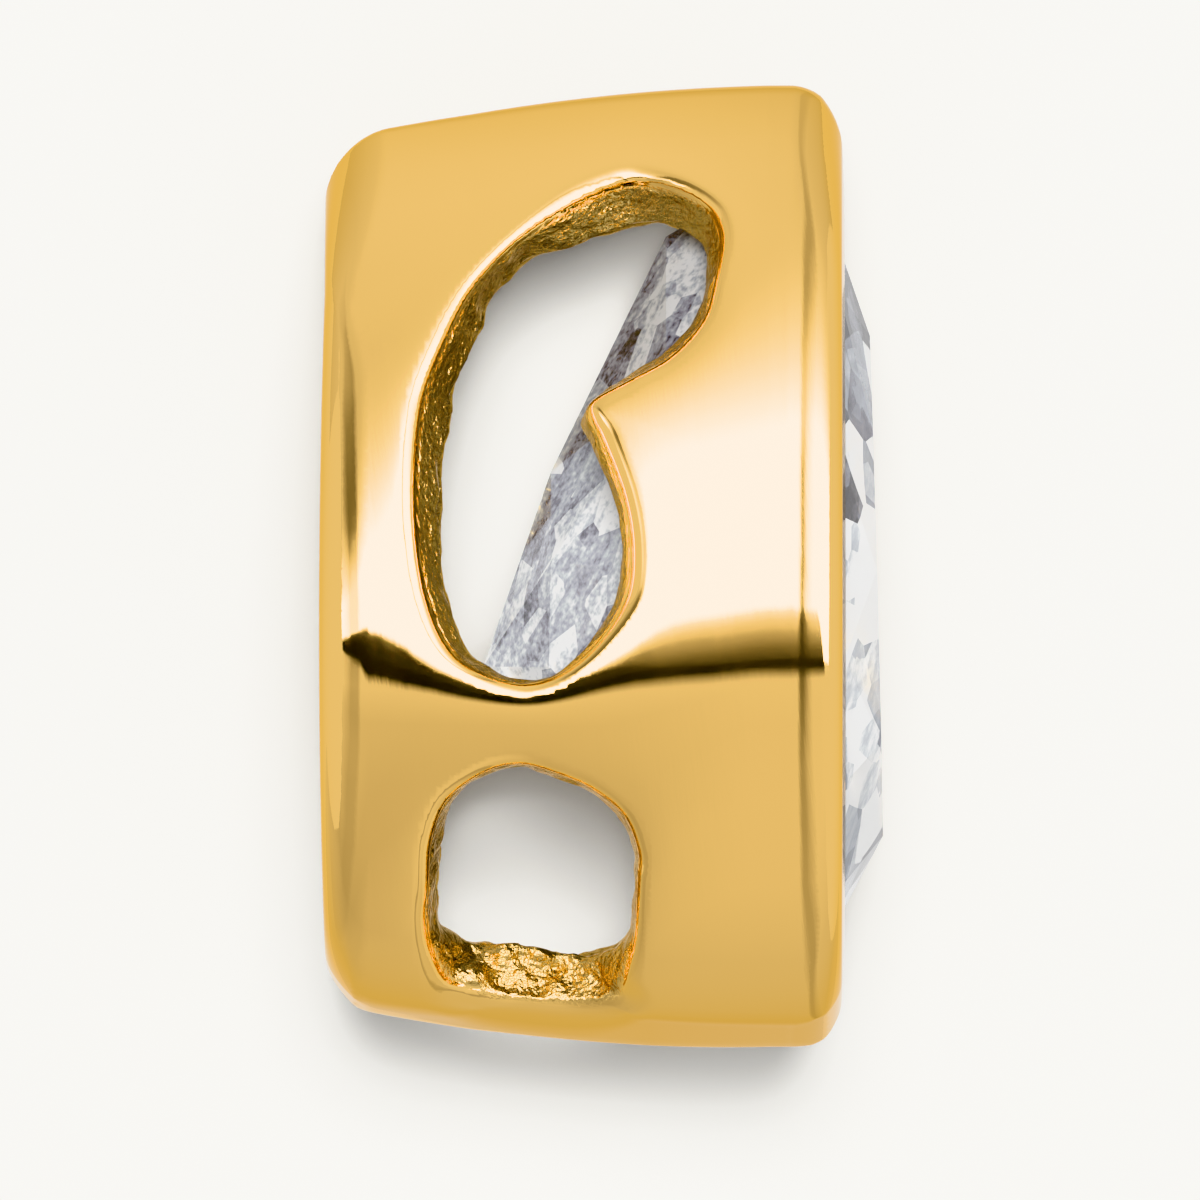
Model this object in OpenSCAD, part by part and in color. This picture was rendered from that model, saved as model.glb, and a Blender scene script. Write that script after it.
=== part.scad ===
// Slide pendant: a cast gold bezel, pear shaped and open through both flanks,
// that holds one pear-cut stone. It lies on one flank, settled as it is laid down:
// +X is the stone's side, +Y the point of the pear, +Z up.

/* [Stone] */
// Length of the pear-cut stone, from its round end to its point
stone_l = 8.0; // [7.8:0.1:8.2]
// Width of the stone
stone_w = 6.0; // [5.9:0.1:6.2]
// Height of the table above the girdle, at the middle of the table
crown_h = 0.67; // [0.62:0.01:0.72]
// Slant of the table, which stands a little higher towards the round end
table_slant = 1.5; // [0:0.1:1.6]
// Length of the table as a share of the stone's length
table_share = 0.63; // [0.58:0.01:0.66]
// Thickness of the girdle, the stone's upright edge
girdle_t = 0.40; // [0.35:0.01:0.45]
// Depth of the culet below the top of the girdle
culet_d = 3.31; // [3.25:0.01:3.4]
// Gap between the stone and the gold
seat_gap = 0.03; // [0.02:0.01:0.05]

/* [Bezel] */
// Depth of the gold from the back to the front rim
bezel_d = 5.2; // [5.2:0.01:5.25]
// Gold outside the stone's edge at the widest level
rim_w = 0.82; // [0.8:0.01:0.86]
// Thickness of the wall behind the stone
wall_t = 0.80; // [0.76:0.01:0.82]
// Level of the top of the girdle above the back
girdle_at = 4.94; // [4.93:0.01:4.95]
// Level above the back where the barrelled outside is widest
barrel_at = 4.5; // [4.4:0.1:4.6]
// Radius of the barrelled outside, measured through its depth
barrel_r = 20; // [19:1:24]
// Rounding of the outer back edge
back_round = 0.28; // [0.26:0.02:0.30]
// Rounding of the outer front edge
front_round = 0.38; // [0.36:0.01:0.38]
// Rise of the lip from the rim to its inner edge
lip_rise = 0.05; // [0.04:0.01:0.08]

/* [Rest] */
// Roll of the pendant towards its point as it lies, in degrees
rest_roll = 14.1; // [13:0.1:15]
// Tilt of the stone's side upwards as it lies, in degrees
rest_tilt = 7.1; // [6:0.1:8]

/* [Hidden] */
// The pear: a round end about the origin, two flanks, and the point on +Y
round_r = stone_w / 2;
tip_h = stone_l - round_r;
flank_r = (tip_h * tip_h + round_r * round_r) / (2 * round_r);
flank_c = round_r - flank_r;
tip_angle = asin(tip_h / flank_r);
far = 20;
// Brings the settled pendant to the middle of its base
place = [-2.6930, -0.9247, 3.4390];

// Outer edge of the wall, outside the stone's outline, at level s above the back
function outer_at(s) = rim_w - pow(max(barrel_at - s, 0), 2) / (2 * barrel_r);

// Half width of the pear at height y, grown by g
function half_width(y, g) = y >= 0
    ? flank_c + sqrt(pow(flank_r + g, 2) - y * y)
    : sqrt(max(pow(round_r + g, 2) - y * y, 0.04));

// Points along an arc in the wall's section
function arc_points(cx, cy, r, from, to, n) =
    [for (i = [0 : n]) let (a = from + (to - from) * i / n) [cx + r * cos(a), cy + r * sin(a)]];

// The wall's section: first column outwards from the stone's outline, second the level above the back
outer_steps = 7;
inner_steps = 4;
lip_reach = 0.30;
seat_foot = girdle_at - girdle_t - 0.40;
ledge = 0.10;
function wall_outside() = let (
    back_out = outer_at(back_round) - back_round,
    front_out = outer_at(bezel_d) - front_round,
    rise = bezel_d - front_round - back_round
) concat(
    [[outer_at(0) - wall_t, 0]],
    arc_points(back_out, back_round, back_round, -90, 0, 5),
    [for (i = [1 : outer_steps - 1]) let (s = back_round + rise * i / outer_steps) [outer_at(s), s]],
    arc_points(front_out, bezel_d - front_round, front_round, 0, 90, 4),
    [[-lip_reach, bezel_d + lip_rise]]
);
function wall_section() = concat(
    wall_outside(),
    [
        [-lip_reach, girdle_at + 0.22],
        [seat_gap, girdle_at + seat_gap],
        [seat_gap, girdle_at - girdle_t - seat_gap],
        [-ledge, seat_foot],
        [-ledge, seat_foot - 0.2]
    ],
    [for (i = [inner_steps : -1 : 1]) let (s = (seat_foot - 0.5) * i / inner_steps)
        [outer_at(s) - wall_t, s]]
);

// At the point the wall is solid as far in as the stone's tip
function point_section() = concat(wall_outside(), [[-lip_reach, 0]]);

// One stretch of the wall, swept about the centre of its arc
module wall_arc(centre, r, from, to, section)
    translate(centre)
        rotate([0, 0, from])
            rotate_extrude(angle = to - from, $fn = 180)
                intersection() {
                    translate([r, 0]) polygon(section);
                    square([far, far]);
                }

module wall_ring() {
    wall_arc([0, 0], round_r, 180, 360, wall_section());
    wall_arc([flank_c, 0], flank_r, 0, tip_angle, wall_section());
    wall_arc([-flank_c, 0], flank_r, 180 - tip_angle, 180, wall_section());
    wall_arc([0, tip_h], 0, tip_angle, 180 - tip_angle, point_section());
}

// Edges of the openings: level and height where the edge lies on the outside,
// then level and height where the same cut leaves the inside of the wall
upper_edge = [
    [0.96, 2.58, 1.35, 2.64], [1.08, 2.98, 1.49, 3.04], [1.32, 3.50, 1.65, 3.47],
    [1.58, 3.89, 1.83, 3.78], [1.99, 4.30, 2.10, 4.06], [2.45, 4.67, 2.58, 4.18],
    [2.83, 4.86, 2.86, 4.27], [3.18, 4.94, 3.18, 4.37], [3.62, 4.82, 3.51, 4.40],
    [3.96, 4.58, 3.77, 4.27], [4.05, 4.28, 3.86, 4.06], [3.97, 3.89, 3.84, 3.78],
    [3.84, 3.45, 3.73, 3.45], [3.51, 3.08, 3.42, 3.13], [3.08, 2.84, 3.00, 2.86],
    [2.69, 2.62, 2.61, 2.49], [2.82, 2.28, 2.69, 2.20], [3.03, 1.69, 2.89, 1.73],
    [3.11, 1.17, 2.985, 1.25], [3.06, 0.69, 2.95, 0.73], [2.80, 0.25, 2.71, 0.30],
    [2.41, -0.07, 2.36, -0.04], [2.01, -0.18, 2.01, -0.11], [1.56, -0.05, 1.65, 0.04],
    [1.23, 0.23, 1.45, 0.22], [1.02, 0.73, 1.30, 0.73], [0.92, 1.38, 1.235, 1.39],
    [0.91, 2.00, 1.25, 2.02]
];
lower_edge = [
    [1.10, -1.72, 1.22, -1.68], [1.27, -1.31, 1.35, -1.33], [1.66, -1.03, 1.66, -1.09],
    [2.01, -0.95, 2.01, -1.02], [2.39, -1.05, 2.35, -1.10], [2.74, -1.20, 2.69, -1.27],
    [3.05, -1.46, 2.96, -1.50], [3.19, -1.84, 3.13, -1.82], [3.18, -2.13, 3.14, -2.03],
    [3.16, -2.58, 3.13, -2.33], [3.13, -3.05, 3.11, -2.60], [3.13, -3.31, 3.00, -2.72],
    [2.94, -3.455, 2.84, -2.80], [2.60, -3.52, 2.55, -2.83], [2.20, -3.51, 2.17, -2.775],
    [1.80, -3.46, 1.80, -2.74], [1.43, -3.34, 1.48, -2.695], [1.17, -3.19, 1.29, -2.60],
    [1.06, -2.87, 1.21, -2.51], [1.03, -2.50, 1.195, -2.27], [1.065, -2.15, 1.205, -1.98]
];

// A smooth closed curve through a ring of points, k points to each stretch
function smooth(p, k) = let (n = len(p)) [
    for (i = [0 : n - 1], j = [0 : k - 1]) let (
        t = j / k, a = p[(i + n - 1) % n], b = p[i], c = p[(i + 1) % n], d = p[(i + 2) % n]
    ) 0.5 * (2 * b + (c - a) * t + (2 * a - 5 * b + 4 * c - d) * t * t + (3 * b - a - 3 * c + d) * t * t * t)
];

// The solid that cuts an opening through both flanks: six rings, with a slanting face in each wall
module opening(edge, k) {
    e = smooth(edge, k);
    n = len(e);
    outer = [for (p = e) half_width(p[1], outer_at(p[0])) + 0.03];
    inner = [for (p = e) half_width(p[3], outer_at(p[2]) - wall_t) - 0.06];
    rings = concat(
        [for (i = [0 : n - 1]) [far / 4, e[i][1], e[i][0]]],
        [for (i = [0 : n - 1]) [outer[i], e[i][1], e[i][0]]],
        [for (i = [0 : n - 1]) [inner[i], e[i][3], e[i][2]]],
        [for (i = [0 : n - 1]) [-inner[i], e[i][3], e[i][2]]],
        [for (i = [0 : n - 1]) [-outer[i], e[i][1], e[i][0]]],
        [for (i = [0 : n - 1]) [-far / 4, e[i][1], e[i][0]]]
    );
    polyhedron(points = rings, faces = concat(
        [[for (i = [n - 1 : -1 : 0]) i]],
        [for (r = [0, 2, 4], i = [0 : n - 1]) let (j = (i + 1) % n)
            [r * n + i, r * n + j, (r + 1) * n + j, (r + 1) * n + i]],
        [for (r = [1, 3], i = [0 : n - 1], h = [0, 1]) let (j = (i + 1) % n)
            h == 0 ? [r * n + j, (r + 1) * n + j, (r + 1) * n + i] : [r * n + i, r * n + j, (r + 1) * n + i]],
        [[for (i = [0 : n - 1]) 5 * n + i]]
    ), convexity = 6);
}

// The stone's outline at 16 places, from the point round by way of +X; its tip is just blunted
tip_blunt = 0.05;
function girdle_places() = concat(
    [[0, tip_h - tip_blunt]],
    [for (i = [1 : 4]) let (a = tip_angle * (1 - i / 5)) [flank_c + flank_r * cos(a), flank_r * sin(a)]],
    [for (i = [0 : 6]) [round_r * cos(-30 * i), round_r * sin(-30 * i)]],
    [for (i = [4 : -1 : 1]) let (a = tip_angle * (1 - i / 5)) [-flank_c - flank_r * cos(a), flank_r * sin(a)]]
);

// A place drawn in towards a centre on the pear's axis, at a level above the back
function drawn_in(p, share, centre_y, level) =
    [p[0] * share, centre_y + (p[1] - centre_y) * share, level];

// The two rings of corners below the girdle, from the point to the round end: share of the
// outline, then share of the culet's depth; the back is fuller towards the point
pavilion_upper = [[0.870, 0.447], [0.840, 0.447], [0.780, 0.448], [0.747, 0.489], [0.632, 0.447]];
pavilion_lower = [[0.452, 0.795], [0.440, 0.795], [0.375, 0.801], [0.212, 0.839]];

module cut_stone() {
    g = girdle_places();
    table_y = 0.53;
    table_mid = table_y + (1 - round_r) * table_share;
    function table_level(y) = girdle_at + crown_h - (y - table_mid) * tan(table_slant);
    star_share = (1 + table_share) / 2 + 0.035;
    points = concat(
        [for (i = [0 : 7]) let (p = drawn_in(g[2 * i], table_share, table_y, 0)) [p[0], p[1], table_level(p[1])]],
        [for (i = [0 : 7]) let (p = drawn_in(g[2 * i + 1], star_share, table_y, 0))
            [p[0], p[1], girdle_at + 0.46 * (table_level(p[1]) - girdle_at)]],
        [for (p = g) [p[0], p[1], girdle_at]],
        [for (p = g) [p[0], p[1], girdle_at - girdle_t]],
        [for (i = [0 : 7]) let (q = pavilion_upper[min(i, 8 - i)])
            drawn_in(g[2 * i], q[0], 0, girdle_at - q[1] * culet_d)],
        [for (i = [0 : 7]) let (q = pavilion_lower[min(i, 7 - i)])
            drawn_in(g[2 * i + 1], q[0], 0, girdle_at - q[1] * culet_d)],
        [[0, 0, girdle_at - culet_d]]
    );
    T = 0; M = 8; G = 16; L = 32; A = 48; B = 56; C = 64;
    hull() polyhedron(points = points, faces = concat(
        [[for (i = [0 : 7]) T + i]],
        [for (i = [0 : 7]) let (j = (i + 1) % 8) [T + j, T + i, M + i]],
        [for (i = [0 : 7]) let (h = (i + 7) % 8) [T + i, M + h, G + 2 * i]],
        [for (i = [0 : 7]) [T + i, G + 2 * i, M + i]],
        [for (i = [0 : 7]) [M + i, G + 2 * i, G + 2 * i + 1]],
        [for (i = [0 : 7]) [M + i, G + 2 * i + 1, G + (2 * i + 2) % 16]],
        [for (i = [0 : 15]) let (j = (i + 1) % 16) [G + j, G + i, L + i, L + j]],
        [for (i = [0 : 7]) [L + 2 * i, L + (2 * i + 15) % 16, A + i]],
        [for (i = [0 : 7]) [L + 2 * i + 1, L + 2 * i, A + i]],
        [for (i = [0 : 7]) let (j = (i + 1) % 8) [L + 2 * i + 1, A + i, A + j]],
        [for (i = [0 : 7]) let (j = (i + 1) % 8) [A + j, A + i, B + i]],
        [for (i = [0 : 7]) let (j = (i + 1) % 8) [A + j, B + i, B + j]],
        [for (i = [0 : 7]) let (j = (i + 1) % 8) [B + j, B + i, C]]
    ));
}

// From the pear's own axes to the way it lies
module lie() translate(place) rotate([-rest_roll, -rest_tilt, 0]) rotate([0, 90, 0]) children();

module bezel() color([0.88, 0.69, 0.36])
    lie() difference() {
        wall_ring();
        opening(upper_edge, 2);
        opening(lower_edge, 2);
    }

module stone() color([0.80, 0.80, 0.84]) lie() cut_stone();

bezel();
stone();
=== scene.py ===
# Slide pendant: a cast and polished gold bezel with a pear-cut stone, lying on its flank.
import math

import bpy
import numpy as np
import openvdb
from mathutils import Matrix, Vector


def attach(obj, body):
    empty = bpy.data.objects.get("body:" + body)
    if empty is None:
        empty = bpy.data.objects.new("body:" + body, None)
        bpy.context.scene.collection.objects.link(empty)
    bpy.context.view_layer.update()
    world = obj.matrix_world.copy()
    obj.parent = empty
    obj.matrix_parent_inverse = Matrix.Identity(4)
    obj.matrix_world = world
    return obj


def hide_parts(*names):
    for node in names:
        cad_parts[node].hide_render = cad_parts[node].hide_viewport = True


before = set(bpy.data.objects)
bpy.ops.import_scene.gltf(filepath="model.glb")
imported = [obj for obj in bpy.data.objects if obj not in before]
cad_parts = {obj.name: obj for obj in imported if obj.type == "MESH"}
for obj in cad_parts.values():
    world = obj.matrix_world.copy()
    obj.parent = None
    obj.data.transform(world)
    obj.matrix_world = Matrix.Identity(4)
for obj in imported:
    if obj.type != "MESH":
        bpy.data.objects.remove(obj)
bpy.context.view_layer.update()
MM = 0.001


# ---- Where the pendant lies -------------------------------------------------
# Its own axes: s from the back to the stone's side, y towards the point, w across the flanks.
# s = 0 is the back rim, y = 0 the widest level, w = 0 the middle plane.
ROLL = 14.1
TILT = 7.1
PLACE = Vector((-2.6930, -0.9247, 3.4390))
LIE = (
    Matrix.Translation(PLACE)
    @ Matrix.Rotation(math.radians(-TILT), 4, "Y")
    @ Matrix.Rotation(math.radians(-ROLL), 4, "X")
)
OWN_TURN = LIE.to_3x3()


def laid_down(points):
    """Points in the pendant's own axes, in mm, to where they lie, in metres."""
    return (points @ np.array(OWN_TURN).T + np.array(LIE.translation)) * MM


# ---- The bezel's sizes, in mm ----------------------------------------------
# The stone's outline: half a round below, and two flank arcs that meet in the point above
ROUND_R = 3.0
TIP_H = 5.0
FLANK_R = (TIP_H**2 + ROUND_R**2) / (2 * ROUND_R)
FLANK_C = ROUND_R - FLANK_R
TIP_ANGLE = math.asin(TIP_H / FLANK_R)

# The band round it, fullest at one level and drawn in behind that towards the point
RIM_W = 0.82
WALL_T = 0.80
DEPTH = 5.2
BARREL_AT = 4.5
BARREL_R = 20.0
BACK_LEAN = 0.011
LEAN_DOUBLES_BELOW = -2.0
LEAN_OVER = 3.0

# Polishing pulls the outside down softly towards an opening, and leaves it faintly wavy
PULL_H = 0.034
PULL_FADE = 0.20
WAVE_H = 0.007
WAVE_SIZE = 2.3

# A flat strip left by filing runs round the round end: its edge in degrees from the flank, by level
FILED_LEVELS = [0.0, 0.35, 3.3, 5.2]
FILED_EDGES = [77.0, 76.8, 67.0, 68.7]
FILED_BELOW = -1.5
FILED_SOFT = 0.03

# A narrow bevel runs round the back edge and out towards the point, a narrower one round the front
BACK_SLANT = math.radians(20)
BACK_BEVEL_END = 0.34
BACK_BEVEL_LOSS = 0.5
BACK_BEVEL_RUNOUT = (2.8, 4.8)
BACK_BEVEL_SOFT = 0.04
FRONT_SLANT = math.radians(24)
FRONT_BEVEL_START = 4.99
FRONT_BEVEL_SOFT = 0.12

# The back rim is dished about a middle, and the front rim rises a little towards the stone
DISH = 0.0045
DISH_MIDDLE = 0.4
DISH_HALF = 3.3
LIP_RISE = 0.05
LIP_RISE_OVER = 1.1

# The rims' rounding, then what the round end and the point add, and over which heights
BACK_ROUND = (0.24, (0.26, 2.5, 3.6), (0.40, 3.3, 5.2))
FRONT_ROUND = (0.20, (0.14, 2.4, 3.6), (0.26, 3.8, 5.4))

# Inside, the wall thickens into a seat, and a lip closes over the stone. The edges are distances
# from the stone's outline, by level
SEAT_FROM = 3.52
SEAT_SLOPE = 0.4
LIP_FROM = 4.97
LIP_END = 5.16
LIP_REACH = 0.28
LIP_STEEPNESS = 0.52
POCKET_LEVELS = [3.92, 4.12, 4.51, LIP_FROM, LIP_END, 6.0]
POCKET_EDGES = [-0.10, -0.10, 0.03, 0.03, -LIP_REACH, -LIP_REACH]
HOLLOW_ROUND = 0.07

# Edges of the openings: level and height on the outside, then on the inside of the wall
UPPER_EDGE = [
    (0.96, 2.58, 1.35, 2.64), (1.08, 2.98, 1.49, 3.04), (1.32, 3.50, 1.65, 3.47),
    (1.58, 3.89, 1.83, 3.78), (1.99, 4.30, 2.10, 4.06), (2.45, 4.67, 2.58, 4.18),
    (2.83, 4.86, 2.86, 4.27), (3.18, 4.94, 3.18, 4.37), (3.62, 4.82, 3.51, 4.40),
    (3.96, 4.58, 3.77, 4.27), (4.05, 4.28, 3.86, 4.06), (3.97, 3.89, 3.84, 3.78),
    (3.84, 3.45, 3.73, 3.45), (3.51, 3.08, 3.42, 3.13), (3.08, 2.84, 3.00, 2.86),
    (2.69, 2.62, 2.61, 2.49), (2.82, 2.28, 2.69, 2.20), (3.03, 1.69, 2.89, 1.73),
    (3.11, 1.17, 2.985, 1.25), (3.06, 0.69, 2.95, 0.73), (2.80, 0.25, 2.71, 0.30),
    (2.41, -0.07, 2.36, -0.04), (2.01, -0.18, 2.01, -0.11), (1.56, -0.05, 1.65, 0.04),
    (1.23, 0.23, 1.45, 0.22), (1.02, 0.73, 1.30, 0.73), (0.92, 1.38, 1.235, 1.39),
    (0.91, 2.00, 1.25, 2.02),
]
LOWER_EDGE = [
    (1.10, -1.72, 1.22, -1.68), (1.27, -1.31, 1.35, -1.33), (1.66, -1.03, 1.66, -1.09),
    (2.01, -0.95, 2.01, -1.02), (2.39, -1.05, 2.35, -1.10), (2.74, -1.20, 2.69, -1.27),
    (3.05, -1.46, 2.96, -1.50), (3.19, -1.84, 3.13, -1.82), (3.18, -2.13, 3.14, -2.03),
    (3.16, -2.58, 3.13, -2.33), (3.13, -3.05, 3.11, -2.60), (3.13, -3.31, 3.00, -2.72),
    (2.94, -3.455, 2.84, -2.80), (2.60, -3.52, 2.55, -2.83), (2.20, -3.51, 2.17, -2.775),
    (1.80, -3.46, 1.80, -2.74), (1.43, -3.34, 1.48, -2.695), (1.17, -3.19, 1.29, -2.60),
    (1.06, -2.87, 1.21, -2.51), (1.03, -2.50, 1.195, -2.27), (1.065, -2.15, 1.205, -1.98),
]
EDGE_STEPS = 8
THROUGH_SPAN = (-0.3, 1.2)

# Their rims' rounding, and where it is fuller: beside the stone in the upper opening, and at the
# foot of the lower one
OPENING_ROUND = 0.10
BESIDE_MORE = 0.09
BESIDE_LEVELS = (2.3, 2.9)
BESIDE_FROM = (0.2, 0.8)
BESIDE_TO = (-2.9, -2.3)
FOOT_MORE = 0.10
FOOT_HEIGHTS = (3.1, 3.4)

# Sand from the mould, coarse and fine: the height and size of its lumps. The wheel takes them off
# the outside, and they come back from one depth on in the shape, and from another in the look
SAND = ((0.020, 0.36), (0.016, 0.17))
SAND_APART = (3, 5, 7)
SAND_IN_HOLLOW = 0.8
SAND_IN_CUTS = 1.2
CAST_SHAPE_DEPTH = (0.15, 0.26)
CAST_LOOK_DEPTH = (0.13, 0.22)
CAST_CUT_REACH = (-0.12, -0.02)
CAST_HOLLOW_REACH = (-0.12, -0.03)
CAST_HOLLOW_END = 5.0

# The mesh: its grid's corners and step, and how far apart the surface is sampled, closely to settle
# a point on it, and wider for a normal that passes over the finest grain
GRID_LOW = np.array([-0.25, -4.15, -4.15])
GRID_HIGH = np.array([5.6, 6.15, 4.15])
GRID_STEP = 0.060
FIELD_STEPS = 3
SETTLE_TIMES = 3
SETTLE_REACH = 0.012
LEAST_SLOPE = 0.25
NORMAL_REACH = 0.03


# ---- The cast band as a distance field ---------------------------------------
def eased(x, low, high):
    """0 below low, 1 above high, and a smooth rise between."""
    t = np.clip((x - low) / (high - low), 0.0, 1.0)
    return t * t * (3 - 2 * t)


def rounded_meet(a, b, r):
    """Where two surfaces meet in an outside edge, rounded to radius r."""
    return np.minimum(np.maximum(a, b), -r) + np.hypot(np.maximum(a + r, 0), np.maximum(b + r, 0))


def from_outline(y, w):
    """Distance outwards from the stone's pear-shaped outline."""
    w = np.abs(w)
    flank = np.hypot(w - FLANK_C, y) - FLANK_R
    end = np.hypot(w, y) - ROUND_R
    point = np.hypot(w, y - TIP_H)
    past_point = np.arctan2(y, w - FLANK_C) > TIP_ANGLE
    return np.where(y < 0, end, np.where(past_point, point, flank))


def outer_edge(s, y):
    """How far outside the stone's outline the barrelled outside lies."""
    back = np.maximum(BARREL_AT - s, 0)
    height = y + np.minimum(y - LEAN_DOUBLES_BELOW, 0)
    return RIM_W - back**2 / (2 * BARREL_R) - BACK_LEAN * height * np.clip(back / LEAN_OVER, 0, 1)


def smooth_ring(ring, steps):
    """A smooth closed curve through a ring of points."""
    ring = np.array(ring)
    a, b, c, d = (np.roll(ring, k, axis=0)[:, None] for k in (1, 0, -1, -2))
    t = (np.arange(steps) / steps)[None, :, None]
    curve = 0.5 * (
        2 * b + (c - a) * t + (2 * a - 5 * b + 4 * c - d) * t**2 + (3 * b - a - 3 * c + d) * t**3
    )
    return curve.reshape(-1, ring.shape[1])


PLAN_STEP = 0.025
PLAN_S = np.arange(-0.7, 6.3, PLAN_STEP)
PLAN_Y = np.arange(-4.8, 6.8, PLAN_STEP)


def plan_distance(ring):
    """Distance from a closed curve over the flank's plan, negative inside it."""
    s, y = np.meshgrid(PLAN_S, PLAN_Y, indexing="ij")
    best = np.full(s.shape, 1e9)
    inside = np.zeros(s.shape, bool)
    for (s0, y0), (s1, y1) in zip(ring, np.roll(ring, -1, axis=0)):
        ds, dy = s1 - s0, y1 - y0
        t = np.clip(((s - s0) * ds + (y - y0) * dy) / (ds * ds + dy * dy + 1e-12), 0, 1)
        best = np.minimum(best, (s - s0 - t * ds) ** 2 + (y - y0 - t * dy) ** 2)
        if dy != 0:
            inside ^= ((y0 > y) != (y1 > y)) & (s < s0 + ds * (y - y0) / dy)
    return np.where(inside, -1, 1) * np.sqrt(best)


def read_plan(plan, s, y):
    """A plan's value at any level and height."""
    i = np.clip((s - PLAN_S[0]) / PLAN_STEP, 0, len(PLAN_S) - 1.001)
    j = np.clip((y - PLAN_Y[0]) / PLAN_STEP, 0, len(PLAN_Y) - 1.001)
    i0, j0 = i.astype(int), j.astype(int)
    i, j = i - i0, j - j0
    return (
        plan[i0, j0] * (1 - i) * (1 - j) + plan[i0 + 1, j0] * i * (1 - j)
        + plan[i0, j0 + 1] * (1 - i) * j + plan[i0 + 1, j0 + 1] * i * j
    )


OPENING_PLANS = []
for edge in (UPPER_EDGE, LOWER_EDGE):
    curve = smooth_ring(edge, EDGE_STEPS)
    OPENING_PLANS.append((plan_distance(curve[:, :2]), plan_distance(curve[:, 2:])))

# A block of random lumps, which repeats, and where the pendant's own zero lies in it
LUMP_COUNT = 64
LUMP_START = 20.5
LUMPS = np.random.default_rng(7).random((LUMP_COUNT,) * 3).astype(np.float32)


def lumps(s, y, w, size):
    """Soft lumps of one size in mm, from -1 to 1, as sand or plaster leaves on a casting."""
    total = 0.0
    grid = [np.mod(c / size + LUMP_START, LUMP_COUNT - 1) for c in (s, y, w)]
    low = [g.astype(int) for g in grid]
    part = [g - l for g, l in zip(grid, low)]
    part = [p * p * (3 - 2 * p) for p in part]
    for corner in range(8):
        pick = [(corner >> k) & 1 for k in range(3)]
        share = 1.0
        for p, k in zip(part, pick):
            share = share * (p if k else 1 - p)
        total = total + share * LUMPS[low[0] + pick[0], low[1] + pick[1], low[2] + pick[2]]
    return 2 * total - 1


def polished_outside(s, y, w, d, o, edges):
    """The barrelled outside as the wheel and the file leave it."""
    pulled = sum(PULL_H * np.exp(-np.maximum(outer, 0) / PULL_FADE) for outer, _ in edges)
    outside = d - o + pulled + WAVE_H * lumps(s, y, w, WAVE_SIZE)
    half = np.radians(90 - np.interp(s, FILED_LEVELS, FILED_EDGES)) / 2
    filed = -y * np.cos(half) + np.abs(w) * np.sin(half) - (ROUND_R + o - pulled) * np.cos(half)
    return np.where(y < FILED_BELOW, rounded_meet(outside, filed, FILED_SOFT), outside)


def rim_round(y, sizes):
    """A rim's rounding at a height: its least, and what the round end and the point add."""
    least, (more_below, *below), (more_above, *above) = sizes
    return least + more_below * eased(-y, *below) + more_above * eased(y, *above)


def band_parts(s, y, w):
    """The surfaces that bound the gold: its skin with bevels and rims, its hollow, the cut of its
    openings, and its outside alone, before the bevels."""
    d = from_outline(y, w)
    o = outer_edge(s, y)
    edges = [(read_plan(outer, s, y), read_plan(inner, s, y)) for outer, inner in OPENING_PLANS]
    outside = polished_outside(s, y, w, d, o, edges)
    bevel_end = BACK_BEVEL_END - BACK_BEVEL_LOSS * eased(y, *BACK_BEVEL_RUNOUT)
    back_bevel = outside * math.cos(BACK_SLANT) - (s - bevel_end) * math.sin(BACK_SLANT)
    front_bevel = outside * math.cos(FRONT_SLANT) + (s - FRONT_BEVEL_START) * math.sin(FRONT_SLANT)
    skin = rounded_meet(outside, back_bevel, BACK_BEVEL_SOFT)
    skin = rounded_meet(skin, front_bevel, FRONT_BEVEL_SOFT)
    back_rim = DISH * np.minimum(np.abs(y - DISH_MIDDLE), DISH_HALF) ** 2
    front_rim = DEPTH + LIP_RISE * np.clip((o - d) / LIP_RISE_OVER, 0, 1)
    skin = rounded_meet(skin, back_rim - s, rim_round(y, BACK_ROUND))
    skin = rounded_meet(skin, s - front_rim, rim_round(y, FRONT_ROUND))
    pocket = np.interp(s, POCKET_LEVELS, POCKET_EDGES)
    wall = o - WALL_T
    under_seat = wall + (pocket - wall) * np.clip((s - SEAT_FROM) / SEAT_SLOPE, 0, 1)
    hollow_edge = np.where(s > POCKET_LEVELS[0], pocket, under_seat)
    steepness = np.where((s > LIP_FROM) & (s < LIP_END), LIP_STEEPNESS, 1.0)
    hollow = (hollow_edge - d) * steepness
    through = np.clip((o - d) / WALL_T, *THROUGH_SPAN)
    cuts = [
        (outer + (inner - outer) * through) / np.hypot(1, (inner - outer) / WALL_T)
        for outer, inner in edges
    ]
    return skin, hollow, np.minimum(*cuts), outside


def band(s, y, w):
    """The whole bezel: below 0 in the gold."""
    skin, hollow, cut, outside = band_parts(s, y, w)
    (coarse_h, coarse), (fine_h, fine) = SAND
    ds, dy, dw = SAND_APART
    sand = coarse_h * lumps(s, y, w, coarse) + fine_h * lumps(s + ds, y + dy, w + dw, fine)
    sand = sand * eased(-outside, *CAST_SHAPE_DEPTH)
    body = rounded_meet(skin, hollow + sand * SAND_IN_HOLLOW, HOLLOW_ROUND)
    rim_r = (
        OPENING_ROUND
        + BESIDE_MORE * eased(s, *BESIDE_LEVELS) * eased(y, *BESIDE_FROM) * eased(-y, *BESIDE_TO)
        + FOOT_MORE * eased(-y, *FOOT_HEIGHTS)
    )
    return rounded_meet(body, sand * SAND_IN_CUTS - cut, rim_r)


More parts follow.
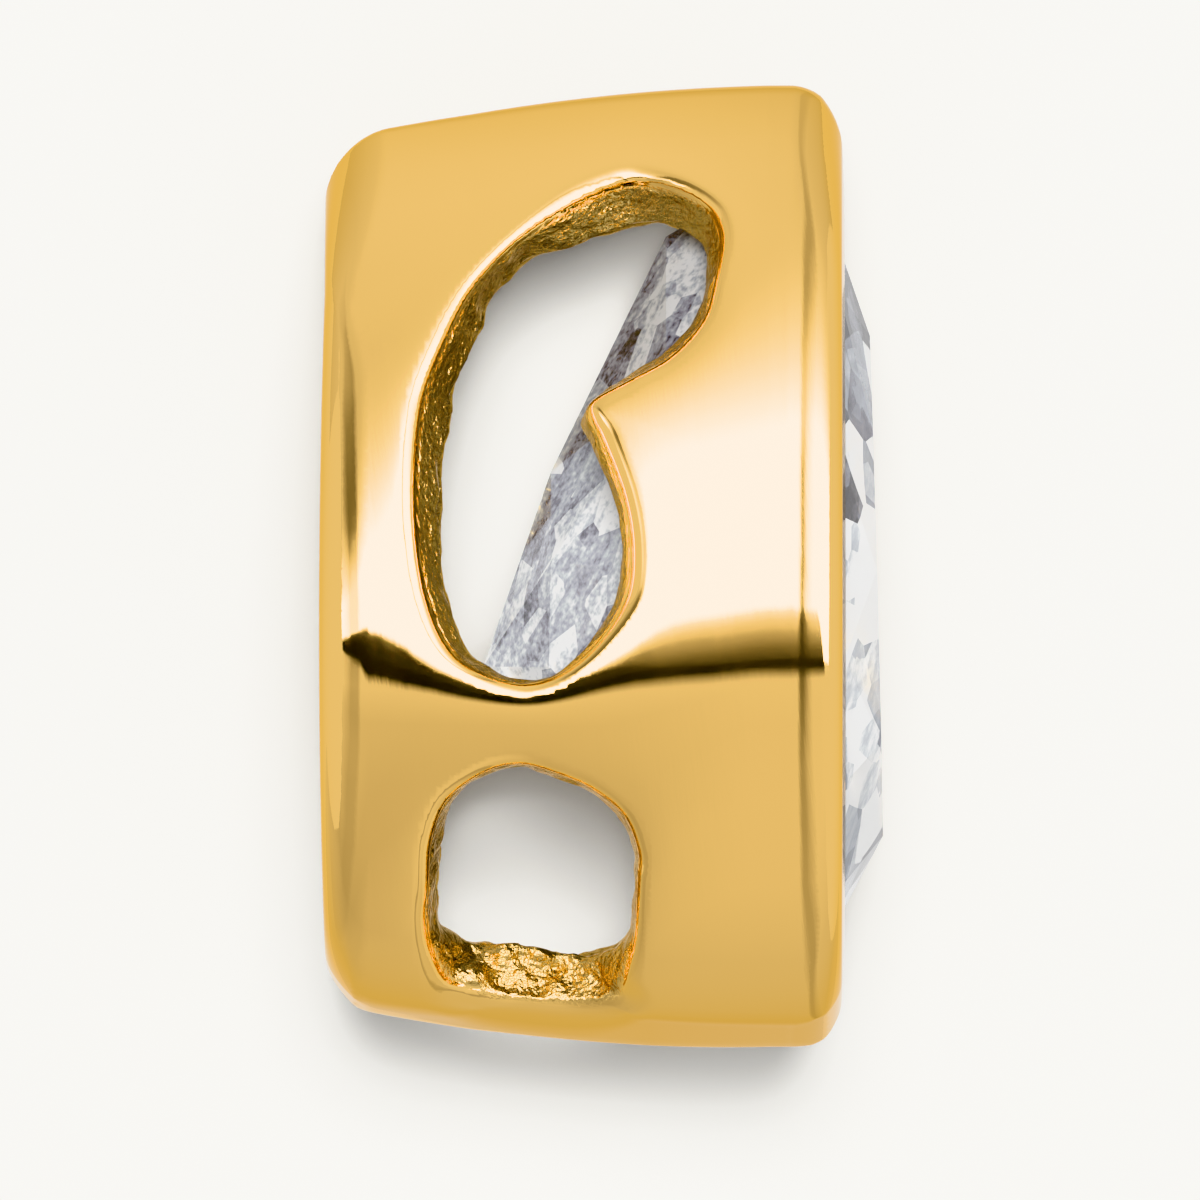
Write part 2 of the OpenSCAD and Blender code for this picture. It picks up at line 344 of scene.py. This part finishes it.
def slope_at(points, reach):
    """The way out of the gold at each point, from its distances one reach to either side."""
    slope = np.empty_like(points)
    for k in range(3):
        shift = np.zeros(3)
        shift[k] = reach
        slope[:, k] = (band(*(points + shift).T) - band(*(points - shift).T)) / (2 * reach)
    return slope


def cast_bezel(step):
    """A mesh of the band with its points on the true surface."""
    count = np.ceil((GRID_HIGH - GRID_LOW) / step).astype(int)
    s, y, w = (GRID_LOW[k] + step * np.arange(count[k]) for k in range(3))
    heights, widths = np.meshgrid(y, w, indexing="ij")
    field = np.empty(count, np.float32)
    for i in range(count[0]):
        field[i] = band(np.full(heights.shape, s[i]), heights, widths)
    np.clip(field, -FIELD_STEPS * step, FIELD_STEPS * step, out=field)
    grid = openvdb.FloatGrid(FIELD_STEPS * step)
    grid.copyFromArray(field)
    points, quads = grid.convertToQuads(isovalue=0.0)
    points = GRID_LOW + points.astype(float) * step
    for _ in range(SETTLE_TIMES):
        away = np.clip(band(*points.T), -step, step)
        slope = slope_at(points, SETTLE_REACH)
        points -= slope * (away / np.maximum((slope**2).sum(1), LEAST_SLOPE))[:, None]
    return points, quads


def left_as_cast(points):
    """1 where the gold is left as cast, in the hollow and the cuts, and 0 where it is polished."""
    _, hollow, cut, outside = band_parts(*points.T)
    in_cuts = eased(-cut, *CAST_CUT_REACH)
    in_hollow = eased(-np.abs(hollow), *CAST_HOLLOW_REACH) * (points[:, 0] < CAST_HOLLOW_END)
    return np.maximum(in_cuts, in_hollow) * eased(-outside, *CAST_LOOK_DEPTH)


def add_bezel():
    """The bezel's mesh, which carries where it is left as cast and its place in its own axes."""
    points, quads = cast_bezel(GRID_STEP)
    a, b, c, d = (points[quads[:, k]] for k in range(4))
    if (a * np.cross(b, c)).sum() + (a * np.cross(c, d)).sum() < 0:
        quads = quads[:, ::-1]
    mesh = bpy.data.meshes.new("bezel_cast")
    mesh.from_pydata(laid_down(points).tolist(), [], quads.tolist())
    mesh.polygons.foreach_set("use_smooth", np.ones(len(quads), bool))
    cast = mesh.attributes.new("cast", "FLOAT", "POINT")
    cast.data.foreach_set("value", left_as_cast(points).astype(np.float32))
    own = mesh.attributes.new("own_place", "FLOAT_VECTOR", "POINT")
    own.data.foreach_set("vector", points.astype(np.float32).ravel())
    mesh.update()
    slope = slope_at(points, NORMAL_REACH)
    normals = slope / np.linalg.norm(slope, axis=1)[:, None]
    mesh.normals_split_custom_set_from_vertices((normals @ np.array(OWN_TURN).T).tolist())
    bezel = bpy.data.objects.new("bezel_cast", mesh)
    bpy.context.scene.collection.objects.link(bezel)
    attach(bezel, "root")
    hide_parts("bezel")
    return bezel


# ---- Finishes ------------------------------------------------------------------
def colour(code):
    """An sRGB hex colour as linear RGBA."""
    parts = [int(code[k : k + 2], 16) / 255 for k in (1, 3, 5)]
    return [p / 12.92 if p <= 0.04045 else ((p + 0.055) / 1.055) ** 2.4 for p in parts] + [1.0]


def add_node(tree, kind, links=(), stops=(), **settings):
    """One shader node with its settings. links name an input and the output that feeds it; in_ and
    an input's name or number set its own value; stops are a ramp's places and colours."""
    node = tree.nodes.new(kind)
    for name, value in settings.items():
        if name.startswith("in_"):
            key = name[3:]
            node.inputs[int(key) if key.isdigit() else key.replace("_", " ")].default_value = value
        else:
            setattr(node, name, value)
    for key, source in links:
        tree.links.new(source, node.inputs[key])
    for at, code in stops:
        node.color_ramp.elements.new(at).color = colour(code)
    if stops:
        # The two stops that a new ramp brings go
        node.color_ramp.elements.remove(node.color_ramp.elements[0])
        node.color_ramp.elements.remove(node.color_ramp.elements[-1])
    return node


def new_finish(name):
    """A new material with its nodes and its shader."""
    finish = bpy.data.materials.new(name)
    finish.use_nodes = True
    tree = finish.node_tree
    return finish, tree, tree.nodes["Principled BSDF"]


# The gold where it is polished and where it is left as cast
BRIGHT_GOLD = "#f2c778"
BRIGHT_ROUGHNESS = 0.015
CAST_GOLD = "#bfa468"
CAST_ROUGHNESS = 0.17

# Drag marks on the gold, in mm. Real ones are too fine to show, so they are drawn this wide
DRAG_LEAN = math.radians(8)
DRAG_W = 0.16
DRAG_L = 1.6
DRAG_DEEP = 0.0007
DRAG_ROUGHNESS = 0.06

# The mould's grain on the gold, in mm
GRAIN_W = 1 / 12
GRAIN_DEEP = 0.06


def polished_gold():
    """14 ct yellow gold, cast, then polished on a wheel outside: mirror bright there with faint
    drag marks, and left dull and grainy from the mould inside and in the cuts."""
    finish, tree, shader = new_finish("polished_gold")
    shader.inputs["Metallic"].default_value = 1.0
    shader.inputs["Specular Tint"].default_value = colour("#f6dfb0")
    cast = add_node(tree, "ShaderNodeAttribute", attribute_name="cast")
    own = add_node(tree, "ShaderNodeAttribute", attribute_name="own_place")
    tone = add_node(
        tree, "ShaderNodeMix", [("Factor", cast.outputs["Fac"])], data_type="RGBA",
        in_6=colour(BRIGHT_GOLD), in_7=colour(CAST_GOLD),
    )
    tree.links.new(tone.outputs[2], shader.inputs["Base Color"])
    dull = add_node(
        tree, "ShaderNodeMapRange", [("Value", cast.outputs["Fac"])],
        in_To_Min=BRIGHT_ROUGHNESS, in_To_Max=CAST_ROUGHNESS,
    )
    drag = add_node(
        tree, "ShaderNodeMapping", [("Vector", own.outputs["Vector"])], vector_type="TEXTURE",
        in_Rotation=(0.0, 0.0, DRAG_LEAN), in_Scale=(DRAG_W, DRAG_L, DRAG_L),
    )
    marks = add_node(
        tree, "ShaderNodeTexNoise", [("Vector", drag.outputs["Vector"])],
        in_Scale=1.0, in_Detail=5.0, in_Roughness=0.6,
    )
    worn = add_node(
        tree, "ShaderNodeMath", [(0, marks.outputs["Fac"]), (2, dull.outputs["Result"])],
        operation="MULTIPLY_ADD", in_1=DRAG_ROUGHNESS,
    )
    tree.links.new(worn.outputs["Value"], shader.inputs["Roughness"])
    grain = add_node(
        tree, "ShaderNodeTexNoise", [("Vector", own.outputs["Vector"])],
        in_Scale=1 / GRAIN_W, in_Detail=3.0,
    )
    grain_left = add_node(
        tree, "ShaderNodeMath", [(0, grain.outputs["Fac"]), (1, cast.outputs["Fac"])],
        operation="MULTIPLY",
    )
    dragged = add_node(
        tree, "ShaderNodeBump", [("Height", marks.outputs["Fac"])],
        in_Strength=1.0, in_Distance=DRAG_DEEP * MM,
    )
    bump = add_node(
        tree, "ShaderNodeBump",
        [("Height", grain_left.outputs["Value"]), ("Normal", dragged.outputs["Normal"])],
        in_Strength=1.0, in_Distance=GRAIN_DEEP * MM,
    )
    tree.links.new(bump.outputs["Normal"], shader.inputs["Normal"])
    return finish


# Painted reflections for what shows in the stone from its sides: streaks along its back facets, a
# painted tone for each facet, cells across them, and specks, with each one's size and its share of
# the whole
FACETS_ALONG = (0.0, 0.0, math.radians(62))
STREAK = (1.2 * MM, 0.26 * MM, 0.5 * MM)
FACET_SHARE = 0.35
CELL = (0.48 * MM, 0.24 * MM, 0.34 * MM)
CELL_SHARE = 0.18
SPECK = 0.06 * MM
SPECK_SHARE = 0.20
SIDE_PAINTED_REFLECTIONS = [
    (0.44, "#17161b"), (0.485, "#6b6877"), (0.54, "#a6a6b3"), (0.60, "#c6cbd2"), (0.67, "#ffffff"),
]

# From the front the back facets' reflections are painted as a fan of flat patches, alike on both
# sides: the height of the culet that they fan out from, how many there are to a radian and to a mm
# outwards, and what the streaks and cells add to them
CULET_H = 0.6
FAN = (4.0, 1.8, 1.0)
FAN_STREAK_SHARE = 0.5
FAN_CELL_SHARE = 0.25
FRONT_FACING = 0.1
FAN_PAINTED_REFLECTIONS = [
    (0.42, "#34323b"), (0.53, "#7d7d8a"), (0.76, "#a3a8b2"), (0.93, "#cdd2d8"), (1.0, "#ffffff"),
]


def cut_stone():
    """Cubic zirconia, cut and polished flat. The facets behind break what they show into small
    white, grey and lavender patches with dark glints, which streaks and cells paint into its base
    colour as painted reflections."""
    finish, tree, shader = new_finish("cubic_zirconia")
    shader.inputs["IOR"].default_value = 2.15
    shader.inputs["Roughness"].default_value = 0.02
    shader.inputs["Transmission Weight"].default_value = 0.35
    place = add_node(tree, "ShaderNodeTexCoord")
    streaked = add_node(
        tree, "ShaderNodeMapping", [("Vector", place.outputs["Object"])], vector_type="TEXTURE",
        in_Rotation=FACETS_ALONG, in_Scale=STREAK,
    )
    streaks = add_node(
        tree, "ShaderNodeTexNoise", [("Vector", streaked.outputs["Vector"])],
        in_Scale=1.6, in_Detail=8.0, in_Roughness=0.74,
    )
    celled = add_node(
        tree, "ShaderNodeMapping", [("Vector", place.outputs["Object"])], vector_type="TEXTURE",
        in_Rotation=FACETS_ALONG, in_Scale=CELL,
    )
    cells = add_node(
        tree, "ShaderNodeTexVoronoi", [("Vector", celled.outputs["Vector"])], in_Scale=1.0,
    )
    cell = add_node(tree, "ShaderNodeSeparateColor", [("Color", cells.outputs["Color"])])
    facet = add_node(
        tree, "ShaderNodeTexNoise", [("Vector", place.outputs["Normal"])],
        in_Scale=4.0, in_Detail=0.0,
    )
    broad = add_node(
        tree, "ShaderNodeMix", [(2, streaks.outputs["Fac"]), (3, facet.outputs["Fac"])],
        data_type="FLOAT", in_0=FACET_SHARE,
    )
    mixed = add_node(
        tree, "ShaderNodeMix", [(2, broad.outputs[0]), (3, cell.outputs["Red"])],
        data_type="FLOAT", in_0=CELL_SHARE,
    )
    specks = add_node(
        tree, "ShaderNodeTexNoise", [("Vector", place.outputs["Object"])],
        in_Scale=1 / SPECK, in_Detail=1.0,
    )
    specked = add_node(
        tree, "ShaderNodeMath", [(0, specks.outputs["Fac"]), (2, mixed.outputs[0])],
        operation="MULTIPLY_ADD", in_1=SPECK_SHARE,
    )
    # Painted reflections as the stone's sides show them
    side_painted_reflection = add_node(
        tree, "ShaderNodeValToRGB", [("Fac", specked.outputs["Value"])], stops=SIDE_PAINTED_REFLECTIONS,
    )
    own = add_node(
        tree, "ShaderNodeMapping", [("Vector", place.outputs["Object"])], vector_type="TEXTURE",
        in_Location=LIE.translation * MM, in_Rotation=LIE.to_euler(), in_Scale=(MM, MM, MM),
    )
    axes = add_node(tree, "ShaderNodeSeparateXYZ", [("Vector", own.outputs["Vector"])])
    height = add_node(
        tree, "ShaderNodeMath", [(0, axes.outputs["Y"])], operation="SUBTRACT", in_1=CULET_H,
    )
    half_width = add_node(tree, "ShaderNodeMath", [(0, axes.outputs["Z"])], operation="ABSOLUTE")
    around = add_node(
        tree, "ShaderNodeMath", [(0, half_width.outputs["Value"]), (1, height.outputs["Value"])],
        operation="ARCTAN2",
    )
    front_plan = add_node(
        tree, "ShaderNodeCombineXYZ",
        [("X", height.outputs["Value"]), ("Y", half_width.outputs["Value"])],
    )
    outwards = add_node(
        tree, "ShaderNodeVectorMath", [("Vector", front_plan.outputs["Vector"])],
        operation="LENGTH",
    )
    fan_place = add_node(
        tree, "ShaderNodeCombineXYZ",
        [("X", around.outputs["Value"]), ("Y", outwards.outputs["Value"])],
    )
    fan_scaled = add_node(
        tree, "ShaderNodeMapping", [("Vector", fan_place.outputs["Vector"])], in_Scale=FAN,
    )
    fan = add_node(
        tree, "ShaderNodeTexVoronoi", [("Vector", fan_scaled.outputs["Vector"])],
        voronoi_dimensions="2D", in_Scale=1.0, in_Randomness=0.8,
    )
    patch = add_node(tree, "ShaderNodeSeparateColor", [("Color", fan.outputs["Color"])])
    clouded = add_node(
        tree, "ShaderNodeMath", [(0, streaks.outputs["Fac"]), (2, patch.outputs["Red"])],
        operation="MULTIPLY_ADD", in_1=FAN_STREAK_SHARE,
    )
    broken = add_node(
        tree, "ShaderNodeMath", [(0, cell.outputs["Red"]), (2, clouded.outputs["Value"])],
        operation="MULTIPLY_ADD", in_1=FAN_CELL_SHARE,
    )
    # Painted reflections as the stone's front shows them
    front_painted_reflection = add_node(
        tree, "ShaderNodeValToRGB", [("Fac", broken.outputs["Value"])], stops=FAN_PAINTED_REFLECTIONS,
    )
    faces = add_node(tree, "ShaderNodeSeparateXYZ", [("Vector", place.outputs["Normal"])])
    front = add_node(
        tree, "ShaderNodeMath", [(0, faces.outputs["X"])],
        operation="GREATER_THAN", in_1=FRONT_FACING,
    )
    # The stone's base colour: painted reflections, as seen from the side or from the front
    look = add_node(
        tree, "ShaderNodeMix",
        [
            ("Factor", front.outputs["Value"]), (6, side_painted_reflection.outputs["Color"]),
            (7, front_painted_reflection.outputs["Color"]),
        ],
        data_type="RGBA",
    )
    tree.links.new(look.outputs[2], shader.inputs["Base Color"])
    return finish


bezel = add_bezel()
bezel.data.materials.append(polished_gold())
stone_finish = cut_stone()
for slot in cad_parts["stone"].material_slots:
    slot.material = stone_finish


# ---- Floor, light and camera ----------------------------------------------------
# The middle of the view, in mm in the pendant's own axes, and where that lies in metres
VIEW_MIDDLE = Vector((2.8, 0.668, 0.0))
CENTRE = LIE @ VIEW_MIDDLE * MM


def add_floor(width, tint):
    """A matt sheet under the pendant, which its polish doesn't show."""
    half = width / 2
    corners = [(-half, -half, 0), (half, -half, 0), (half, half, 0), (-half, half, 0)]
    mesh = bpy.data.meshes.new("floor")
    mesh.from_pydata(corners, [], [(0, 1, 2, 3)])
    floor = bpy.data.objects.new("floor", mesh)
    bpy.context.scene.collection.objects.link(floor)
    finish, _, shader = new_finish("floor")
    shader.inputs["Base Color"].default_value = colour(tint)
    shader.inputs["Roughness"].default_value = 0.9
    shader.inputs["Specular IOR Level"].default_value = 0.0
    mesh.materials.append(finish)
    floor.visible_glossy = False


def toward(right, up, distance):
    """A place seen from the pendant at angles in degrees from the camera's line."""
    right, up = math.radians(right), math.radians(up)
    aim = Vector((math.sin(right), math.sin(up) * math.cos(right), math.cos(up) * math.cos(right)))
    return CENTRE + OWN_TURN @ (aim * distance)


def add_card(name, rows, distance, strength=0.0, tint="#000000"):
    """A card curved round the pendant that only its polish shows. Each row is a line of places:
    angles right and up from the camera's line, and how much of the card is there, 0 being clear."""
    width = len(rows[0])
    points = [toward(right, up, distance) for row in rows for right, up, share in row]
    faces = [
        (r * width + c, r * width + c + 1, (r + 1) * width + c + 1, (r + 1) * width + c)
        for r in range(len(rows) - 1) for c in range(width - 1)
    ]
    mesh = bpy.data.meshes.new(name)
    mesh.from_pydata(points, [], faces)
    cover = mesh.attributes.new("cover", "FLOAT", "POINT")
    cover.data.foreach_set("value", [share for row in rows for right, up, share in row])
    card = bpy.data.objects.new(name, mesh)
    bpy.context.scene.collection.objects.link(card)
    finish, tree, shader = new_finish(name)
    shader.inputs["Base Color"].default_value = colour("#000000")
    shader.inputs["Specular IOR Level"].default_value = 0.0
    shader.inputs["Emission Color"].default_value = colour(tint)
    shader.inputs["Emission Strength"].default_value = strength
    there = add_node(tree, "ShaderNodeAttribute", attribute_name="cover")
    # What the gold throws on the floor leaves the card out, so no glow of it lies there
    path = add_node(tree, "ShaderNodeLightPath")
    direct = add_node(
        tree, "ShaderNodeMath", [(0, path.outputs["Diffuse Depth"])],
        operation="LESS_THAN", in_1=0.5,
    )
    shown = add_node(
        tree, "ShaderNodeMath", [(0, there.outputs["Fac"]), (1, direct.outputs["Value"])],
        operation="MULTIPLY",
    )
    tree.links.new(shown.outputs["Value"], shader.inputs["Alpha"])
    mesh.materials.append(finish)
    card.visible_camera = False
    card.visible_shadow = False
    card.visible_diffuse = False
    card.visible_transmission = strength > 0


def add_room(floor_loss, thrown_loss):
    """A white room that lights the floor less than the polish shows it. The gold throws still less
    of it on the floor."""
    world = bpy.data.worlds.new("studio")
    world.use_nodes = True
    tree = world.node_tree
    walls = tree.nodes["Background"]
    walls.inputs["Color"].default_value = colour("#ffffff")
    path = add_node(tree, "ShaderNodeLightPath")
    thrown = add_node(
        tree, "ShaderNodeMath",
        [(0, path.outputs["Diffuse Depth"]), (1, path.outputs["Glossy Depth"])],
        operation="MULTIPLY", use_clamp=True,
    )
    dimmed = add_node(
        tree, "ShaderNodeMath", [(0, path.outputs["Is Diffuse Ray"])],
        operation="MULTIPLY_ADD", in_1=-floor_loss, in_2=1.0,
    )
    room = add_node(
        tree, "ShaderNodeMath", [(0, thrown.outputs["Value"]), (2, dimmed.outputs["Value"])],
        operation="MULTIPLY_ADD", in_1=-thrown_loss,
    )
    tree.links.new(room.outputs["Value"], walls.inputs["Strength"])
    bpy.context.scene.world = world


def across(columns, ups, share):
    """One row of a card from its columns' angles."""
    return [(right, up, share) for right, up in zip(columns, ups)]


add_floor(1.2, "#f5f4f0")
add_room(floor_loss=0.55, thrown_loss=0.8)

# The soft box above the camera: even up to one line, and from there fading out to a higher one
KEY_ACROSS = [-60, -32, -26, -20, -12, -5, 2, 14, 58]
KEY_FOOT = [9.4, 6.8, 6.0, 2.0, 0.0, 0.0, 1.0, 1.0, 0.0]
KEY_FULL = [16, 20, 22, 26, 34, 40, 44, 46, 44]
KEY_CLEAR = [50, 58, 62, 68, 78, 92, 100, 104, 100]
KEY_FADE = 5
KEY_FADE_ROWS = 15
key_rows = [across(KEY_ACROSS, KEY_FOOT, 1.0)]
for part in np.linspace(0, 1, KEY_FADE_ROWS):
    ups = [full + (clear - full) * part for full, clear in zip(KEY_FULL, KEY_CLEAR)]
    key_rows.append(across(KEY_ACROSS, ups, (1 - part) ** 2 * math.exp(-KEY_FADE * part)))
add_card("key_box", key_rows, distance=0.32, strength=18.0, tint="#fffdf8")

# The dark strip beside the lens, with a soft foot, and a top that is soft for longer on the right:
# how much of it is there, and the height of that line across it
LENS_ACROSS = [-60, -32, -26, -23, -20, -16, -12, -7, -3, 0, 14, 40]
LENS_ROWS = [
    (0.0, [6.0, 0.4, -2.6, -4.2, -6.2, -6.6, -6.4, -6.0, -5.2, -4.0, -4.0, -4.0]),
    (1.0, [6.2, 2.6, 0.4, -0.8, -3.0, -3.5, -3.0, -2.5, -1.6, -0.6, -0.6, -0.6]),
    (0.998, [9.2, 8.4, 8.4, 8.4, 6.8, 4.2, 2.6, 0.2, 0.2, 0.8, 0.8, 0.8]),
    (0.987, [9.25, 8.6, 8.6, 8.6, 7.0, 4.6, 3.4, 1.6, 2.0, 3.0, 3.0, 3.0]),
    (0.965, [9.3, 8.8, 8.8, 8.8, 7.2, 4.9, 4.0, 4.4, 4.8, 5.6, 5.6, 5.6]),
    (0.92, [9.4, 8.9, 8.9, 8.9, 7.4, 5.3, 4.8, 6.0, 6.8, 8.0, 8.0, 8.0]),
    (0.80, [9.5, 9.0, 9.0, 9.0, 7.6, 5.9, 5.6, 7.4, 8.2, 9.4, 9.4, 9.4]),
    (0.0, [9.6, 9.2, 9.2, 9.2, 7.9, 6.4, 6.5, 8.8, 9.6, 10.6, 10.6, 10.6]),
]
lens_rows = [across(LENS_ACROSS, ups, share) for share, ups in LENS_ROWS]
add_card("lens_card", lens_rows, distance=0.30)

# Dark flags to the left and the right draw the creases and rims: the angles of their four
# uprights, of which the outer two are clear, and how dark they are by height
FLAG_UPS = [-150, -110, -70, -30, 0, 10, 35, 60, 80, 110, 150]
FLAG_EDGES = (0, 1, 1, 0)
FLAGS = {
    "left_flag": (
        (-31, -36, -46, -56), [0.05, 0.08, 0.14, 0.20, 0.35, 0.70, 0.80, 0.55, 0.15, 0.0, 0.0],
    ),
    "right_flag": (
        (9, 12, 14, 20), [0.20, 0.30, 0.40, 0.50, 0.80, 0.96, 0.97, 0.75, 0.45, 0.20, 0.05],
    ),
}
for name, (sides, shares) in FLAGS.items():
    flag_rows = [
        [(side, up, share * edge) for up, share in zip(FLAG_UPS, shares)]
        for edge, side in zip(FLAG_EDGES, sides)
    ]
    add_card(name, flag_rows, distance=0.28)

# A faint shade over the rest of the room, deeper to the left and low down
SHADE_ACROSS = [-60, -30, -20, -10, 0, 40]
SHADE = [
    (-165, [0.10, 0.10, 0.10, 0.10, 0.10, 0.10]), (-148, [0.20, 0.20, 0.18, 0.18, 0.18, 0.18]),
    (-128, [0.26, 0.26, 0.24, 0.20, 0.18, 0.18]), (-100, [0.36, 0.36, 0.30, 0.20, 0.16, 0.16]),
    (-70, [0.28, 0.28, 0.28, 0.16, 0.06, 0.06]), (-40, [0.20, 0.20, 0.24, 0.20, 0.04, 0.00]),
    (-18, [0.16, 0.16, 0.17, 0.14, 0.04, 0.00]), (-6, [0.00, 0.00, 0.00, 0.00, 0.00, 0.00]),
    (20, [0.10, 0.10, 0.00, 0.00, 0.00, 0.00]), (60, [0.20, 0.16, 0.05, 0.00, 0.00, 0.00]),
    (85, [0.12, 0.10, 0.03, 0.00, 0.00, 0.10]), (105, [0.12, 0.10, 0.04, 0.00, 0.04, 0.16]),
    (150, [0.20, 0.20, 0.12, 0.06, 0.16, 0.24]),
]
shade_rows = [
    [(right, up, share) for right, share in zip(SHADE_ACROSS, shares)] for up, shares in SHADE
]
add_card("shade", shade_rows, distance=0.34)

# A little more light from past the point, by height and by side
GLOW = [(66, 0.0), (84, 0.10), (100, 0.16), (112, 0.14), (135, 0.0)]
GLOW_SIDES = [(-22, 0.0), (-14, 0.7), (-6, 1.0), (0, 0.4), (8, 0.0)]
glow_rows = [[(right, up, share * side) for right, side in GLOW_SIDES] for up, share in GLOW]
add_card("glow", glow_rows, distance=0.33, strength=2.0, tint="#fffdf8")


def add_daylight(name, energy, spread, lean_up, lean_right):
    """Even light on the floor from near the camera's line, which the polish doesn't show."""
    data = bpy.data.lights.new(name, "SUN")
    data.energy = energy
    data.angle = math.radians(spread)
    sun = bpy.data.objects.new(name, data)
    bpy.context.scene.collection.objects.link(sun)
    turn_up = Matrix.Rotation(math.radians(-lean_up), 3, "X")
    turn_right = Matrix.Rotation(math.radians(lean_right), 3, "Y")
    sun.matrix_world = (OWN_TURN @ (turn_up @ turn_right)).to_4x4()
    sun.visible_glossy = False
    sun.visible_transmission = False


add_daylight("daylight_high", energy=3.75, spread=15, lean_up=9, lean_right=1.0)
add_daylight("daylight_front", energy=0.6, spread=4, lean_up=0, lean_right=0)

# The camera looks along the pendant's own flank-to-flank line, from far off for its size
CAMERA_AWAY = 0.5
VIEW_W = 12.02 * MM
SENSOR_W = 36.0
lens_data = bpy.data.cameras.new("camera")
lens_data.sensor_width = SENSOR_W
lens_data.lens = SENSOR_W * CAMERA_AWAY / VIEW_W
lens_data.clip_start = 0.01
lens_data.clip_end = 10.0
camera = bpy.data.objects.new("camera", lens_data)
bpy.context.scene.collection.objects.link(camera)
bpy.context.scene.camera = camera
camera_place = CENTRE + OWN_TURN @ Vector((0, 0, CAMERA_AWAY))
camera.matrix_world = Matrix.Translation(camera_place) @ OWN_TURN.to_4x4()

bpy.context.scene.view_settings.view_transform = "Khronos PBR Neutral"
